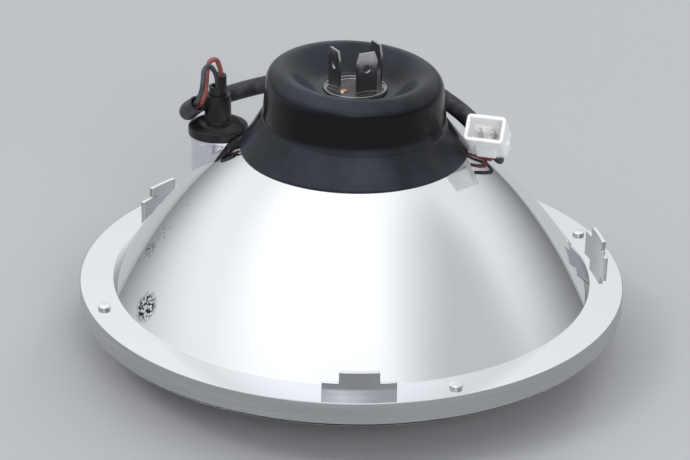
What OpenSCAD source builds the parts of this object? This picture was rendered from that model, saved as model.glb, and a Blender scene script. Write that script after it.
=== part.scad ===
// Motorcycle headlight unit: a metallised reflector with a bonded lens, a
// three-blade halogen bulb under a rubber dust boot, and a pilot lamp whose
// lead runs round the boot to a two-way connector. Millimetres. The unit
// stands on its lens, with the optical axis up and the bulb at the top.

/* [Rim and flange] */
// Outer radius of the flange and of its rim wall
flange_r = 98; // [92:0.5:104]
// Width of the flange outside the bowl
flange_w = 12; // [11:0.1:13]
// Height of the rim wall, from its lower edge to the flange's back face
rim_h = 7.8; // [7:0.1:12]
// Thickness of the rim wall
rim_t = 2.6; // [2:0.1:3]
// Thickness of the flange plate
flange_t = 2.4; // [1.8:0.1:3]
// Chamfer on the edges of the rim
rim_chamfer = 0.4; // [0.2:0.05:0.8]

/* [Bowl] */
// Focal length of the paraboloid
bowl_focal = 30.2; // [28:0.1:32]
// Wall of the bowl, measured along its axis
bowl_t = 3; // [2.4:0.1:3.6]
// Wall of the cylindrical mouth below the flange
mouth_t = 2.2; // [1.6:0.1:2.6]

/* [Flange tabs] */
// Width of a stepped tab at its foot
tab_w = 24.5; // [20:0.5:30]
// Width of the raised middle of a tab
tab_top_w = 13.3; // [10:0.1:16]
// Height of a tab's shoulders above the flange
tab_shoulder_h = 4.8; // [3.5:0.1:6]
// Height of a tab's raised middle above the flange
tab_h = 8.7; // [7.5:0.1:11]
// Thickness of a tab
tab_t = 1.6; // [1.2:0.1:2]
// Distance from the edge of the flange to a tab's outer face
tab_inset = 4.6; // [3.5:0.1:6]
// Radius of a moulded stud on the flange
stud_r = 2.2; // [1.6:0.1:2.6]
// Height of a moulded stud
stud_h = 1.2; // [0.8:0.1:2]
// Distance from the edge of the flange to the middle of a stud
stud_inset = 5.6; // [4:0.1:7]

/* [Lens] */
// Height of the lens dome below its edge
lens_crown = 18; // [14:0.5:26]
// Thickness of the lens
lens_t = 3.2; // [2.6:0.1:4]
// Height of the lens edge that shows below the rim
lens_lip = 1; // [0.6:0.1:2]
// Setback of the lens edge from the rim wall
lens_setback = 1; // [0.6:0.1:2]
// Width of the tongue that stands in the glue channel
tongue_w = 4; // [3:0.1:5]
// Depth of sealant between the tongue and the flange
seal_t = 2.6; // [2:0.1:3.2]

/* [Neck and bulb seat] */
// Width of the prefocus flange's seat round the bulb opening
seat_w = 2.5; // [2:0.1:3]
// Distance from the seating plane to the filament at the focus
filament_reach = 29; // [28:0.1:30]
// Thickness of the neck wall that the boot grips
neck_t = 2.4; // [2:0.1:3]
// Height of the neck wall above the seating plane
neck_h = 3.6; // [3:0.1:4.5]
// Thickness of the steel seat ring
ring_t = 0.8; // [0.6:0.1:1]
// Width of the ring outside a screw's head
ring_edge = 0.8; // [0.6:0.1:1.2]
// Radius of a screw's shank
screw_r = 1.1; // [0.9:0.05:1.2]
// Radius of a screw's head
screw_head_r = 2; // [1.6:0.1:2.2]
// Length of a screw's shank below the ring
screw_len = 1.8; // [1.4:0.1:1.9]
// Diameter of the bulb clip's spring wire
clip_d = 1.5; // [1.2:0.1:1.8]

/* [Main bulb] */
// Radius of the bulb's base shell
shell_r = 11.1; // [10.6:0.1:11.4]
// Height of the base shell above the seating plane
shell_h = 14; // [13:0.1:15]
// Wall of the base shell
shell_t = 0.9; // [0.7:0.1:1.1]
// Radius of the prefocus flange
prefocus_r = 21.5; // [21:0.1:22.2]
// Thickness of the prefocus flange
prefocus_t = 1; // [0.8:0.1:1.2]
// Radius of the glass envelope
glass_r = 8.6; // [8.2:0.1:9.2]
// Distance from the seating plane to the tip of the glass
glass_reach = 47; // [45:0.5:50]
// Wall of the glass
glass_t = 1; // [0.8:0.1:1.2]
// Depth of the insulator's face below the shell's rim
insulator_drop = 1; // [0.6:0.1:1.5]
// Thickness of the insulator
insulator_t = 5; // [4:0.1:6]
// Width of a blade
blade_w = 8; // [7.5:0.1:8.2]
// Thickness of a blade
blade_t = 0.8; // [0.6:0.05:1]
// Height of a blade above the insulator
blade_h = 16; // [14:0.1:17]
// Distance from the shell's inner wall to the middle of a blade
blade_inset = 2.1; // [1.9:0.05:2.4]
// Radius of the hole in a blade
blade_hole_r = 1.4; // [1:0.1:1.8]
// Chamfer at a blade's top corners
blade_chamfer = 1.9; // [1:0.1:2.5]

/* [Dust boot] */
// Reach of the lip, which lies on the bowl, beyond the step
boot_flare = 5.8; // [4.8:0.1:6.6]
// Thickness of the lip
boot_lip_t = 1; // [0.8:0.1:1.4]
// Width of the lip's foot on the bowl
boot_foot_w = 2.6; // [2:0.1:3.2]
// Height of the step above the bulb's seating plane
boot_step_h = 2.2; // [1.6:0.1:3]
// Width of the step outside the body
boot_step_w = 2.2; // [1.8:0.1:2.8]
// Thickness of the rubber
boot_t = 2.2; // [1.8:0.1:2.6]
// Radius of the roll round the top
boot_roll_r = 6.6; // [6:0.1:7]
// Draw of the rolled top inward from the body
boot_draw = 1; // [0.6:0.1:1.4]
// Height of the top above the bulb's seating plane
boot_top_h = 20.6; // [20:0.1:22]
// Height of the boot's collar edge below the shell's rim
collar_drop = 0.6; // [0.4:0.1:1]
// Width of the collar round the bulb's shell
collar_w = 1.7; // [1.4:0.1:2]

/* [Pilot lamp] */
// Distance of the pilot tube from the optical axis
pilot_pitch_r = 58.5; // [57.5:0.1:60]
// Direction of the pilot tube, anticlockwise from the right
pilot_angle = 149; // [147:0.5:151]
// Outer radius of the pilot tube
pilot_r = 10; // [9.6:0.1:10.4]
// Wall of the pilot tube
pilot_t = 1.8; // [1.4:0.1:2.2]
// Depth of the grommet's seat below the bowl, on the side near the axis
pilot_sink = 2; // [1.6:0.1:2.2]
// Radius of the grommet's cap
cap_r = 11; // [10.8:0.1:11.4]
// Height of the cap's side
cap_h = 3.4; // [3:0.1:3.8]
// Rise of the cap to the foot of its neck
cap_rise = 1.6; // [1.2:0.1:2]
// Outer radius of the grommet's neck
grommet_neck_r = 4.8; // [4.5:0.1:5.2]
// Height of the grommet's neck
grommet_neck_h = 10.2; // [9.6:0.1:10.6]
// Depth of the grommet's plug in the tube
plug_depth = 7; // [5:0.1:8]
// Radius of the lamp holder
holder_r = 3.25; // [3:0.05:3.4]
// Height of the holder above the grommet's neck
holder_stand = 3.2; // [2.8:0.1:3.6]
// Height of the holder's back wall above its top
holder_back_h = 4.2; // [3.6:0.1:4.8]
// Radius of the pilot bulb's glass
pilot_glass_r = 5; // [4.5:0.1:5.2]

/* [Connector] */
// Width of the connector housing
conn_w = 13.6; // [13:0.1:14]
// Height of the connector housing
conn_h = 9.6; // [9.2:0.1:10]
// Length of the connector housing
conn_len = 16; // [15:0.1:17]
// Wall of the connector housing
conn_wall = 1.2; // [1:0.1:1.4]
// Depth of the socket in its face
conn_depth = 9; // [8:0.1:10]
// Corner radius of the housing
conn_round = 1.4; // [1:0.1:1.8]
// Distance between the two pins
pin_pitch = 4.6; // [4.2:0.1:5]
// Width of a pin
pin_w = 2.8; // [2.4:0.1:3]

/* [Lead] */
// Diameter of a wire
wire_d = 1.8; // [1.6:0.1:2]
// Diameter of the sleeve over both wires
sleeve_d = 6.4; // [6:0.1:6.8]

/* [Clearances] */
// Gap between a screw's head and the prefocus flange
head_clearance = 0.3; // [0.2:0.1:0.5]
// Gap round the steel ring inside the neck wall
ring_clearance = 1; // [0.6:0.1:1.4]
// Gap between the bulb's centring ring and the bulb opening
centring_clearance = 0.15; // [0.05:0.05:0.3]
// Gap of a rubber piece on what it grips
rubber_clearance = 0; // [0:0.05:0.2]
// Gap round the cap of the pilot's grommet
cap_clearance = 0.1; // [0:0.05:0.2]
// Gap round a screw's shank
screw_clearance = 0; // [0:0.05:0.2]

/* [Hidden] */

$fn = 96;
round_fn = 32;

// Radii, from the bulb outwards
bowl_r = flange_r - flange_w;
bulb_hole_r = prefocus_r - seat_w;
screw_pitch_r = prefocus_r + head_clearance + screw_head_r;
ring_r = screw_pitch_r + screw_head_r + ring_edge;
pocket_r = ring_r + ring_clearance;
neck_r = pocket_r + neck_t;
grip_r = neck_r + rubber_clearance;
boot_body_r = grip_r + boot_t;
boot_step_r = boot_body_r + boot_step_w;
boot_lip_r = boot_step_r + boot_flare;
boot_top_r = boot_body_r - boot_draw;

// Levels along the optical axis
rim_z = lens_crown + lens_lip;
flange_z = rim_z + rim_h;
apex_z = flange_z + bowl_r * bowl_r / (4 * bowl_focal);
focus_z = apex_z - bowl_t - bowl_focal;
seat_z = focus_z + filament_reach;
floor_z = seat_z - ring_t;
shell_z = seat_z + shell_h;
insulator_z = shell_z - insulator_drop;

// Height of the bowl's outer surface at radius r, and its radius at height z
function bowl_z(r) = apex_z - r * r / (4 * bowl_focal);
function bowl_at(z) = sqrt(4 * bowl_focal * (apex_z - z));
pilot_rim_z = bowl_z(pilot_pitch_r - cap_r) - pilot_sink;
pilot_z = pilot_rim_z - flange_z;

// Points of an arc in the plane of a profile
function arc(c, r, from, to, n) = [
    for (i = [0:n]) let (a = from + (to - from) * i / n) c + r * [cos(a), sin(a)]
];

// Directions of the tabs and of the first stud
tab_angles = [10, 143, 272];
stud_angle = 22;
// The blades stand on three sides of a square, turned about the axis
blade_turn = 28;

// A solid of revolution of the paraboloid, from height z up, moved down by drop
module paraboloid(z, drop, steps) {
    r_max = bowl_at(z);
    rotate_extrude()
        polygon(concat(
            [[0, z - drop]],
            [for (i = [0:steps]) let (r = r_max * (1 - i / steps)) [r, bowl_z(r) - drop]]
        ));
}

module ring(r_out, r_in, h) {
    difference() {
        cylinder(r = r_out, h = h);
        translate([0, 0, -1]) cylinder(r = r_in, h = h + 2);
    }
}

// A straight round rod between two points
module rod(a, b, d) {
    v = b - a;
    length = norm(v);
    translate(a)
        rotate([0, acos(v.z / length), atan2(v.y, v.x)])
            cylinder(d = d, h = length, $fn = 48);
}

// A bent wire in space: rods between the points, with a ball at each bend
module bent_wire(points, d) {
    for (i = [0:len(points) - 2]) rod(points[i], points[i + 1], d);
    for (i = [1:len(points) - 2]) translate(points[i]) sphere(d = d, $fn = 24);
}

// A wire bent in one plane: straight rods, whose ends run a little way into
// a slightly thicker arc of radius r at each corner
function unit(v) = v / norm(v);
function turn_at(p, i) =
    let (u = unit(p[i] - p[i - 1]), v = unit(p[i + 1] - p[i]))
    atan2(u.x * v.y - u.y * v.x, u * v);
function setback(p, i, r) =
    (i == 0 || i == len(p) - 1) ? 0 : r * tan(abs(turn_at(p, i)) / 2);

module flat_wire(p, d, r) {
    bite = 0.2;
    swell = 1.04;
    for (i = [0:len(p) - 2])
        let (
            u = unit(p[i + 1] - p[i]),
            back = max(setback(p, i, r) - bite, 0),
            ahead = max(setback(p, i + 1, r) - bite, 0),
            from = p[i] + u * back,
            to = p[i + 1] - u * ahead
        )
        rod([from.x, from.y, 0], [to.x, to.y, 0], d);
    for (i = [1:len(p) - 2])
        let (
            t = turn_at(p, i),
            u = unit(p[i] - p[i - 1]),
            start = p[i] - u * setback(p, i, r),
            centre = start + sign(t) * r * [-u.y, u.x],
            first = atan2(start.y - centre.y, start.x - centre.x) + min(t, 0)
        )
        translate([centre.x, centre.y, 0]) rotate([0, 0, first])
            rotate_extrude(angle = abs(t), $fn = 64) translate([r, 0]) circle(d = swell * d, $fn = 48);
}

// Flange, rim and bowl

module rim_section() {
    inner = flange_r - rim_t;
    mouth = bowl_r - mouth_t;
    rotate_extrude()
        polygon([
            [mouth, rim_z], [bowl_r, rim_z], [bowl_r, flange_z - flange_t],
            [inner, flange_z - flange_t], [inner, rim_z], [flange_r - rim_chamfer, rim_z],
            [flange_r, rim_z + rim_chamfer], [flange_r, flange_z - rim_chamfer],
            [flange_r - rim_chamfer, flange_z], [mouth, flange_z]
        ]);
}

module stepped_tab() {
    face_r = flange_r - tab_inset;
    root_z = flange_z - flange_t / 2;
    intersection() {
        translate([0, 0, root_z]) ring(face_r, face_r - tab_t, 2 * tab_h);
        union() {
            translate([0, -tab_w / 2, root_z])
                cube([flange_r, tab_w, flange_z + tab_shoulder_h - root_z]);
            translate([0, -tab_top_w / 2, root_z])
                cube([flange_r, tab_top_w, flange_z + tab_h - root_z]);
        }
    }
}

module flange_stud() {
    crown = 0.4 * stud_h;
    root = flange_t / 2;
    rotate_extrude($fn = round_fn)
        polygon([
            [0, -root], [stud_r, -root], [stud_r, stud_h - crown], [stud_r - crown, stud_h], [0, stud_h]
        ]);
}

module at_pilot() {
    rotate([0, 0, pilot_angle]) translate([pilot_pitch_r, 0, pilot_rim_z]) children();
}

module at_ring_screws() {
    for (side = [0, 180]) rotate([0, 0, side]) translate([screw_pitch_r, 0, seat_z]) children();
}

module bowl_cavity() {
    mouth = bowl_r - mouth_t;
    steps = 24;
    rotate_extrude()
        polygon(concat(
            [[0, 0], [mouth, 0]],
            [for (i = [0:steps]) let (r = mouth * (1 - i / steps)) [r, bowl_z(r) - bowl_t]]
        ));
}

module reflector() {
    bore_r = pilot_r - pilot_t;
    color("gainsboro") difference() {
        union() {
            rim_section();
            paraboloid(flange_z, 0, 26);
            translate([0, 0, flange_z]) cylinder(r = neck_r, h = seat_z + neck_h - flange_z);
            at_pilot() translate([0, 0, -pilot_z]) cylinder(r = pilot_r, h = pilot_z);
            for (a = tab_angles) rotate([0, 0, a]) stepped_tab();
            for (i = [0:3])
                rotate([0, 0, stud_angle + 90 * i])
                    translate([flange_r - stud_inset, 0, flange_z]) flange_stud();
        }
        bowl_cavity();
        translate([0, 0, floor_z]) cylinder(r = pocket_r, h = apex_z);
        cylinder(r = bulb_hole_r, h = apex_z);
        at_pilot() translate([0, 0, -pilot_z]) cylinder(r = bore_r, h = pilot_z + 1, $fn = 64);
        at_pilot() cylinder(r = cap_r + cap_clearance, h = cap_h);
        at_ring_screws() translate([0, 0, -ring_t - screw_len])
            cylinder(r = screw_r + screw_clearance, h = screw_len + 1, $fn = round_fn);
    }
}

// Lens and its sealant, bonded in the channel behind the rim

tongue_top_z = flange_z - flange_t - seal_t;

module lens() {
    edge_r = flange_r - lens_setback;
    shoulder = 1.5;
    dome_r = edge_r - shoulder / 2;
    sphere_r = (dome_r * dome_r + lens_crown * lens_crown) / (2 * lens_crown);
    inner_r = sphere_r - lens_t;
    step_r = bowl_r - mouth_t - 1.5;
    tongue_r = (bowl_r + flange_r - rim_t) / 2;
    dome_angle = asin((edge_r - shoulder) / sphere_r);
    inner_angle = asin((step_r - 2) / inner_r);
    color("aliceblue", 0.45) rotate_extrude()
        polygon(concat(
            arc([0, sphere_r], sphere_r, -90, dome_angle - 90, 20),
            [[edge_r, lens_crown], [edge_r, rim_z]],
            [[tongue_r + tongue_w / 2, rim_z], [tongue_r + tongue_w / 2, tongue_top_z]],
            [[tongue_r - tongue_w / 2, tongue_top_z], [tongue_r - tongue_w / 2, rim_z]],
            [[step_r, rim_z]],
            arc([0, sphere_r], inner_r, inner_angle - 90, -90, 20)
        ));
}

module lens_seal() {
    color("dimgray") translate([0, 0, tongue_top_z]) ring(flange_r - rim_t, bowl_r, seal_t);
}

// Steel ring on the neck, with the ears and hook of the bulb clip

clip_z = seat_z + prefocus_t + clip_d / 2;
ear_x = ring_r - 9.2;
clip_half_w = ear_x - 1.9;
clip_pivot_y = ring_r - 10.6;
clip_loop_y = 3.2 - ring_r;

module seat_ring() {
    hook_w = 6;
    sheet = ring_t;
    hook_back = clip_loop_y - clip_d / 2;
    color("silver") {
        difference() {
            translate([0, 0, floor_z]) ring(ring_r, bulb_hole_r, ring_t);
            at_ring_screws() translate([0, 0, -ring_t - 1])
                cylinder(r = screw_r + screw_clearance, h = ring_t + 2, $fn = round_fn);
        }
        for (side = [-1, 1])
            difference() {
                translate([side * (ear_x + sheet / 2) - sheet / 2, clip_pivot_y - 2, seat_z])
                    cube([sheet, 4, prefocus_t + clip_d + 1]);
                translate([side * (ear_x - sheet), clip_pivot_y, clip_z])
                    rotate([0, side * 90, 0]) cylinder(d = clip_d, h = 3 * sheet, $fn = 24);
            }
        translate([-hook_w / 2, hook_back - sheet, seat_z])
            cube([hook_w, sheet, prefocus_t + clip_d + sheet]);
        translate([-hook_w / 2, hook_back - sheet, seat_z + prefocus_t + clip_d])
            cube([hook_w, clip_d + 2 * sheet, sheet]);
    }
}

module ring_screws() {
    head_h = 1;
    color("lightgray") at_ring_screws() difference() {
        union() {
            translate([0, 0, -ring_t - screw_len])
                cylinder(r = screw_r, h = ring_t + screw_len, $fn = round_fn);
            cylinder(r = screw_head_r, h = head_h, $fn = round_fn);
        }
        for (a = [0, 90]) rotate([0, 0, a])
            translate([-screw_head_r * 0.6, -0.2, head_h / 2]) cube([screw_head_r * 1.2, 0.4, head_h]);
    }
}

module bulb_clip() {
    end_x = ear_x + 1.8;
    shoulder_x = 12.9;
    shoulder_y = -13;
    loop_x = 5;
    bend_r = 1.8;
    color("darkgray") translate([0, 0, clip_z]) flat_wire([
        [end_x, clip_pivot_y], [clip_half_w, clip_pivot_y], [shoulder_x, shoulder_y],
        [loop_x, clip_loop_y], [-loop_x, clip_loop_y], [-shoulder_x, shoulder_y],
        [-clip_half_w, clip_pivot_y], [-end_x, clip_pivot_y]
    ], clip_d, bend_r);
}

// Main bulb

glass_top_z = seat_z - 3;
mount_h = 6;
mount_z = glass_top_z - mount_h;
cup_r = shell_r - shell_t;
blade_r = cup_r - blade_inset;

module prefocus_flange() {
    lug_w = 8;
    lug_reach = 2;
    centring_h = 3;
    color("silver") difference() {
        union() {
            translate([0, 0, seat_z]) cylinder(r = prefocus_r, h = prefocus_t);
            intersection() {
                translate([0, 0, seat_z]) cylinder(r = prefocus_r + lug_reach, h = prefocus_t);
                for (a = [90, 210, 330]) rotate([0, 0, a])
                    translate([0, -lug_w / 2, seat_z]) cube([prefocus_r + lug_reach, lug_w, prefocus_t]);
            }
            translate([0, 0, seat_z - centring_h])
                ring(bulb_hole_r - centring_clearance, bulb_hole_r - centring_clearance - 1.2, centring_h);
        }
        translate([0, 0, seat_z - 1]) cylinder(r = shell_r, h = prefocus_t + 2);
    }
}

module bulb_shell() {
    sleeve_out = glass_r + shell_t;
    sleeve_foot = -9;
    taper_foot = -3;
    taper_top = -1.5;
    color("lightgray") translate([0, 0, seat_z]) rotate_extrude()
        polygon([
            [glass_r, sleeve_foot], [sleeve_out, sleeve_foot], [sleeve_out, taper_foot],
            [shell_r, taper_top], [shell_r, shell_h], [cup_r, shell_h],
            [cup_r, taper_top + 0.5], [glass_r, taper_foot + 0.6]
        ]);
}

module blade_body(clearance) {
    foot = insulator_t;
    half = blade_w / 2;
    rotate([90, 0, 90]) translate([0, 0, -blade_t / 2 - clearance])
        linear_extrude(blade_t + 2 * clearance)
            polygon([
                [-half, -foot], [half, -foot], [half, blade_h - blade_chamfer],
                [half - blade_chamfer, blade_h], [blade_chamfer - half, blade_h],
                [-half, blade_h - blade_chamfer]
            ]);
}

module blade(turn) {
    hole_z = 0.64 * blade_h;
    rotate([0, 0, turn]) translate([blade_r, 0, insulator_z]) difference() {
        blade_body(0);
        translate([-blade_t, 0, hole_z])
            rotate([0, 90, 0]) cylinder(r = blade_hole_r, h = 2 * blade_t, $fn = round_fn);
    }
}

module blade_ground() { color("silver") blade(blade_turn + 180); }
module blade_low() { color("silver") blade(blade_turn - 90); }
module blade_high() { color("silver") blade(blade_turn); }

module bulb_insulator() {
    color("darkslategray") difference() {
        translate([0, 0, insulator_z - insulator_t]) cylinder(r = cup_r, h = insulator_t);
        for (turn = [180, -90, 0]) rotate([0, 0, blade_turn + turn])
            translate([blade_r, 0, insulator_z]) blade_body(0);
    }
}

module bulb_glass() {
    tip = seat_z - glass_reach;
    inner = glass_r - glass_t;
    color("aliceblue", 0.5) rotate_extrude($fn = 64)
        polygon(concat(
            arc([0, tip + glass_r], glass_r, -90, 0, 10),
            [[glass_r, glass_top_z], [inner, glass_top_z]],
            arc([0, tip + glass_r], inner, 0, -90, 10)
        ));
}

// Filament for the high beam ends on the shield; the low one lies in it
shield_z = seat_z - filament_reach;
lead_d = 0.8;
coil_d = 1.4;
shield_r = 3.2;
shield_len = 7;

module filament_leads() {
    color("gray") {
        translate([0, 0, mount_z]) cylinder(r = glass_r - glass_t, h = mount_h, $fn = 64);
        bent_wire([[-4.5, 0, mount_z], [-4.5, 0, shield_z + 5], [0, 0, shield_z + 5]], lead_d);
        bent_wire([[4.8, 0, mount_z], [4.8, 0, shield_z - 3], [shield_r, 0, shield_z - 3]], lead_d);
        bent_wire([
            [0, 5.2, mount_z], [0, 5.2, shield_z - shield_len - 0.8], [0, 0.6, shield_z - shield_len - 0.8]
        ], lead_d);
    }
}

module filament_high() {
    color("dimgray") translate([0, 0, shield_z + 0.4]) cylinder(d = coil_d, h = 4.2, $fn = 24);
}

module filament_low() {
    color("dimgray") translate([0, 0.6, shield_z - shield_len - 0.4])
        cylinder(d = coil_d, h = shield_len + 0.4, $fn = 24);
}

module dip_shield() {
    sheet = 0.4;
    color("gray") {
        translate([0, 0, shield_z]) cylinder(r = shield_r, h = sheet, $fn = 48);
        difference() {
            translate([0, 0, shield_z - shield_len]) ring(shield_r, shield_r - sheet, shield_len);
            translate([-2 * shield_r, 0.6, shield_z - shield_len - 1])
                cube([4 * shield_r, 4 * shield_r, shield_len + 1]);
        }
    }
}

// Dust boot: skirt on the bowl, body over the neck wall, rolled top and a
// dished middle that holds the bulb's shell

module dust_boot() {
    step_z = seat_z + boot_step_h;
    top_z = seat_z + boot_top_h;
    roll = [boot_top_r - boot_roll_r, top_z - boot_roll_r];
    inner_roll = boot_roll_r - boot_t;
    collar_r = shell_r + rubber_clearance;
    collar_out = collar_r + collar_w;
    collar_z = shell_z - collar_drop;
    dish_z = collar_z - 2.2;
    skin_z = dish_z - boot_t;
    fillet = 1.5;
    foot_r = boot_lip_r - boot_foot_w;
    color([0.13, 0.13, 0.14]) rotate_extrude()
        polygon(concat(
            [[boot_lip_r, bowl_z(boot_lip_r)], [boot_lip_r + 0.2, bowl_z(boot_lip_r) + boot_lip_t]],
            [[boot_step_r, step_z], [boot_body_r + 0.4, step_z + 0.9], [boot_body_r, step_z + 2]],
            arc(roll, boot_roll_r, 0, 135, 12),
            [[collar_out + 2 * fillet, dish_z + fillet / 2], [collar_out + fillet, dish_z]],
            [[collar_out, dish_z + 0.4], [collar_out - 0.3, collar_z]],
            [[collar_r, collar_z], [collar_r, skin_z - 1]],
            [[collar_out, skin_z - 1], [collar_out + fillet, skin_z]],
            arc(roll, inner_roll, 135, 0, 10),
            [[grip_r, seat_z + neck_h + fillet], [grip_r, floor_z]],
            [[grip_r + boot_t, floor_z - 1], [foot_r, bowl_z(foot_r)]]
        ));
}

// Pilot lamp: a rubber grommet plugs the tube and holds the lamp holder

module pilot_grommet() {
    plug_r = pilot_r - pilot_t - rubber_clearance;
    neck_foot_z = cap_h + cap_rise;
    edge = 0.9;
    color([0.13, 0.13, 0.14]) at_pilot() rotate_extrude($fn = 64)
        polygon([
            [holder_r, -plug_depth], [plug_r - edge, -plug_depth], [plug_r, edge - plug_depth],
            [plug_r, 0], [cap_r, 0], [cap_r, cap_h - edge], [cap_r - edge * 0.4, cap_h - edge * 0.3],
            [cap_r - edge * 1.3, cap_h], [grommet_neck_r + edge, neck_foot_z],
            [grommet_neck_r, neck_foot_z + edge], [grommet_neck_r, neck_foot_z + grommet_neck_h],
            [holder_r, neck_foot_z + grommet_neck_h]
        ]);
}

holder_top = cap_h + cap_rise + grommet_neck_h + holder_stand;
socket_len = 5;
holder_foot = plug_depth + socket_len;
wedge_t = 2.2;
wedge_w = 8.6;
contact_t = 0.4;
// Both wires go down into the holder's mouth, inside its back wall
mouth_depth = 4;
mouth_wall = 1;
back_turn = 10 - pilot_angle;

module pilot_holder() {
    socket_r = pilot_r - pilot_t - 1.7;
    slot_w = wedge_w + 0.8;
    slot_t = wedge_t + 2 * contact_t;
    color([0.1, 0.1, 0.11]) at_pilot() difference() {
        union() {
            translate([0, 0, -plug_depth])
                cylinder(r = holder_r, h = plug_depth + holder_top + holder_back_h, $fn = 48);
            translate([0, 0, -holder_foot]) cylinder(r = socket_r, h = socket_len, $fn = 48);
        }
        translate([-slot_w / 2, -slot_t / 2, -holder_foot - 1]) cube([slot_w, slot_t, socket_len + 1]);
        translate([0, 0, holder_top - mouth_depth])
            cylinder(r = holder_r - mouth_wall, h = mouth_depth + holder_back_h + 1, $fn = 48);
        rotate([0, 0, back_turn]) translate([-2 * holder_r, -2 * holder_r, holder_top])
            cube([2 * holder_r, 4 * holder_r, holder_back_h + 1]);
    }
}

module pilot_contacts() {
    strip_w = 3;
    color("goldenrod") at_pilot() for (side = [-1, 1])
        translate([-strip_w / 2, side * (wedge_t + contact_t) / 2 - contact_t / 2, -holder_foot])
            cube([strip_w, contact_t, socket_len]);
}

module pilot_bulb() {
    glass_len = 15;
    wall = 0.9;
    inner = pilot_glass_r - wall;
    color("aliceblue", 0.5) at_pilot() translate([0, 0, -holder_foot]) {
        translate([-wedge_w / 2, -wedge_t / 2, 0]) cube([wedge_w, wedge_t, socket_len]);
        difference() {
            rotate_extrude($fn = 48)
                polygon(concat(
                    [[0, 0], [0, -glass_len]],
                    arc([0, pilot_glass_r - glass_len], pilot_glass_r, -90, 0, 8),
                    [[pilot_glass_r, -3], [pilot_glass_r - 1.4, 0]]
                ));
            rotate_extrude($fn = 48)
                polygon(concat(
                    arc([0, pilot_glass_r - glass_len], inner, -90, 0, 8), [[inner, -4], [0, -4]]
                ));
        }
    }
}

module pilot_filament() {
    post_x = 2;
    reach = 6;
    color("gray") at_pilot() translate([0, 0, -holder_foot - 4])
        bent_wire([[-post_x, 0, 0], [-post_x, 0, -reach], [post_x, 0, -reach], [post_x, 0, 0]], 0.5);
}

// The lead. Its points are where the wires and the sleeve lie, above the bulb's
// seating plane.

black_route = [
    [-50.1, 28.9, -2.1], [-50.1, 28.8, 2.2], [-50.4, 28.6, 5.6], [-51.3, 27.8, 8.6], [-53, 26, 10.8],
    [-54.4, 24, 10.2], [-54.8, 22.4, 7.2], [-55.2, 21.4, 3.8], [-56.2, 21.6, 0.6], [-57.2, 22.8, -2],
    [-57.9, 25, -3.1]
];
red_route = [
    [-49.2, 31.1, -2.1], [-49.1, 31.1, 2.2], [-49, 31, 6], [-49.6, 30.4, 9.6], [-50.9, 29.4, 12.2],
    [-52.6, 28.6, 11.8], [-53.6, 28.3, 9], [-53.9, 27, 5.8], [-54.1, 25.4, 2.6], [-54.7, 24.5, -0.2],
    [-55.5, 24.5, -2.4], [-56.3, 25.6, -3.9]
];
sleeve_route = [
    [-57.3, 25.1, -3.5], [-59.6, 27, -6.2], [-61.2, 30.4, -8.6], [-60.8, 34.8, -9.2], [-58, 38.8, -8.8],
    [-53.4, 41.4, -7.8], [-48, 42.7, -6.4], [-42, 43.2, -4.6], [-36, 43, -2.8], [-26, 41.8, 0.1],
    [-16, 40.4, 2.4], [-7, 38.9, 3.6], [3, 37.9, 3.8], [13, 35.7, 3.7], [21.6, 31.2, 3.4],
    [28.8, 25.1, 2.6], [34.2, 19, 1.1], [38.5, 14.5, -0.7], [42, 10, -2.5]
];
tail_black_route = [
    [42.8, 10.7, -2.5], [45.4, 8.4, -4.1], [47.6, 7.2, -7.4], [49, 6.6, -11.4], [50.6, 5.2, -14.4],
    [52.2, 3.4, -14.8], [52.4, 1.6, -12.4], [51.6, -0.4, -9.2], [50.9, -1.9, -6.9], [50.4, -3.7, -5.4]
];
tail_red_route = [
    [41.2, 9.3, -2.5], [43.4, 7.4, -4.6], [45, 6.4, -8], [46, 5.6, -11.4], [47.2, 4.4, -13.4],
    [48.6, 2.6, -13.4], [48.6, 0.9, -11], [47.4, -0.4, -8.2], [46.5, -1.3, -6.6], [46, -2.6, -5.4]
];

// Direction of a route at point i, and one ring of its tube there
function heading(p, i) =
    let (v = p[min(i + 1, len(p) - 1)] - p[max(i - 1, 0)]) v / norm(v);
function tube_ring(at, along, r, sides) =
    let (
        up = abs(along.z) > 0.9 ? [0, 1, 0] : [0, 0, 1],
        u = cross(along, up) / norm(cross(along, up)),
        v = cross(u, along)
    )
    [for (k = [0:sides - 1]) let (a = 360 * k / sides) at + r * (cos(a) * u + sin(a) * v)];

// Turns a ring's first corner to the one that lies nearest a point
function nearest(ring_points, to) =
    let (d = [for (q = ring_points) norm(q - to)], least = min(d))
    [for (k = [0:len(d) - 1]) if (d[k] == least) k][0];
function turned(ring_points, start) =
    [for (k = [0:len(ring_points) - 1]) ring_points[(k + start) % len(ring_points)]];
function tube_rings(p, r, sides, i = 0, last = undef) =
    i == len(p) ? [] :
    let (
        raw = tube_ring(p[i], heading(p, i), r, sides),
        now = is_undef(last) ? raw : turned(raw, nearest(raw, last[0] + p[i] - p[i - 1]))
    )
    concat([now], tube_rings(p, r, sides, i + 1, now));

module tube(route, d, sides) {
    rings = tube_rings(route, d / 2, sides);
    n = len(route);
    translate([0, 0, seat_z]) polyhedron(
        points = [for (one = rings) for (q = one) q],
        faces = concat(
            [[for (k = [0:sides - 1]) k]],
            [for (i = [0:n - 2]) for (k = [0:sides - 1]) let (m = (k + 1) % sides)
                [i * sides + k, (i + 1) * sides + k, (i + 1) * sides + m, i * sides + m]],
            [[for (k = [sides - 1:-1:0]) (n - 1) * sides + k]]
        ),
        convexity = 8
    );
}

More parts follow.
